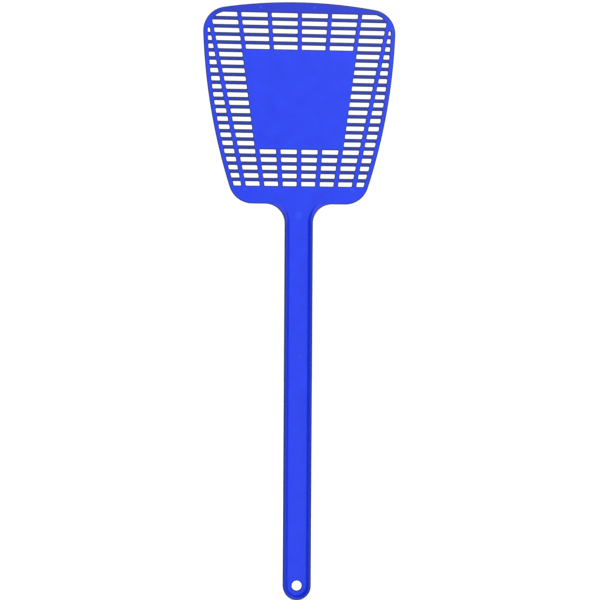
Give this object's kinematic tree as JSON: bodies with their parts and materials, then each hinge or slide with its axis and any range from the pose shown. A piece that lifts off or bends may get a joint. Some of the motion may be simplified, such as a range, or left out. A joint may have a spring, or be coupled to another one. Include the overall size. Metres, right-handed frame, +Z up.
{
  "type": "fly swatter",
  "caption": "Large flexible plastic fly swatter with a slotted blade, a solid strike panel, a channelled handle and a hanging hole.",
  "frame": {"origin": "middle of the grip, on the handle's axis and on the mid plane of the sheet, 80 mm above the handle's end", "axes": "+Z up the handle to the tip of the blade, +X to the right across the blade seen from the front, -Y out of the front face"},
  "size_m": [0.197, 0.009, 0.61],
  "materials": {
    "blue_plastic": "smooth moulded polypropylene, satin gloss"
  },
  "bodies": {
    "handle": {"handle_web": "blue_plastic", "hang_eye": "blue_plastic", "end_rim": "blue_plastic", "handle_rim_left": "blue_plastic", "handle_rim_right": "blue_plastic", "neck_web": "blue_plastic", "neck_rim_left": "blue_plastic", "neck_rim_right": "blue_plastic"},
    "blade": {"tip_band": "blue_plastic", "heel_band": "blue_plastic", "strike_panel": "blue_plastic", "side_rail_left": "blue_plastic", "side_rail_right": "blue_plastic", "outer_rib_left": "blue_plastic", "outer_rib_right": "blue_plastic", "upper_rib_1": "blue_plastic", "upper_rib_2": "blue_plastic", "upper_rib_3": "blue_plastic", "upper_rib_4": "blue_plastic", "upper_rib_5": "blue_plastic", "lower_rib_1": "blue_plastic", "lower_rib_2": "blue_plastic", "lower_rib_3": "blue_plastic", "lower_rib_4": "blue_plastic", "lower_rib_5": "blue_plastic", "slats_upper": "blue_plastic", "slats_lower": "blue_plastic", "slats_left": "blue_plastic", "slats_right": "blue_plastic", "edge_slats_left": "blue_plastic", "edge_slats_right": "blue_plastic"}
  },
  "joints": [
    {"name": "neck_flex", "type": "hinge", "parent": "handle", "child": "blade", "pos_m": [0, 0, 0.314], "axis": [1, 0, 0], "range_deg": [-20, 20], "stiffness_Nm_per_rad": 1.5, "deforming": ["neck_web", "neck_rim_left", "neck_rim_right"]}
  ]
}
